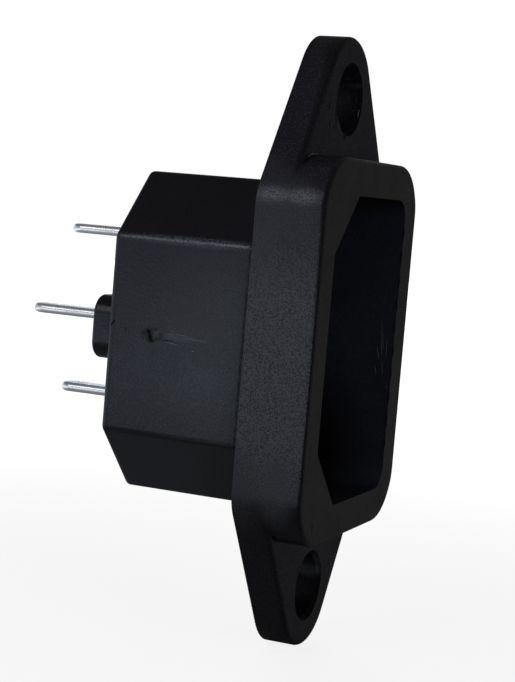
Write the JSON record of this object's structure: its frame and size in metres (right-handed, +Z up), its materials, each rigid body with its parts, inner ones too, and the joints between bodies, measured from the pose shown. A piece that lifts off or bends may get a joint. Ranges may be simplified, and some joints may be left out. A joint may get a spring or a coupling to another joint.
{
  "type": "panel-mount power inlet",
  "caption": "Panel-mount power inlet: black moulded shroud with a bevelled mouth, a flange with tapered screw ears, and folded plated contacts whose solder tails stand out behind.",
  "frame": {"origin": "middle of the flange's rear face, midway between the screw holes", "axes": "+Z up from one screw hole to the other, +Y into the panel, the mouth faces -Y, the bevelled side is -X"},
  "size_m": [0.0226, 0.0293, 0.05],
  "materials": {
    "black_moulding": "black thermoplastic with a fine spark-eroded grain, satin where the tool was smoother",
    "plated_contact": "brass strip with bright nickel or tin plate"
  },
  "bodies": {
    "root": {"housing": "black_moulding", "line_contact": "plated_contact", "neutral_contact": "plated_contact", "earth_contact": "plated_contact"}
  },
  "joints": []
}
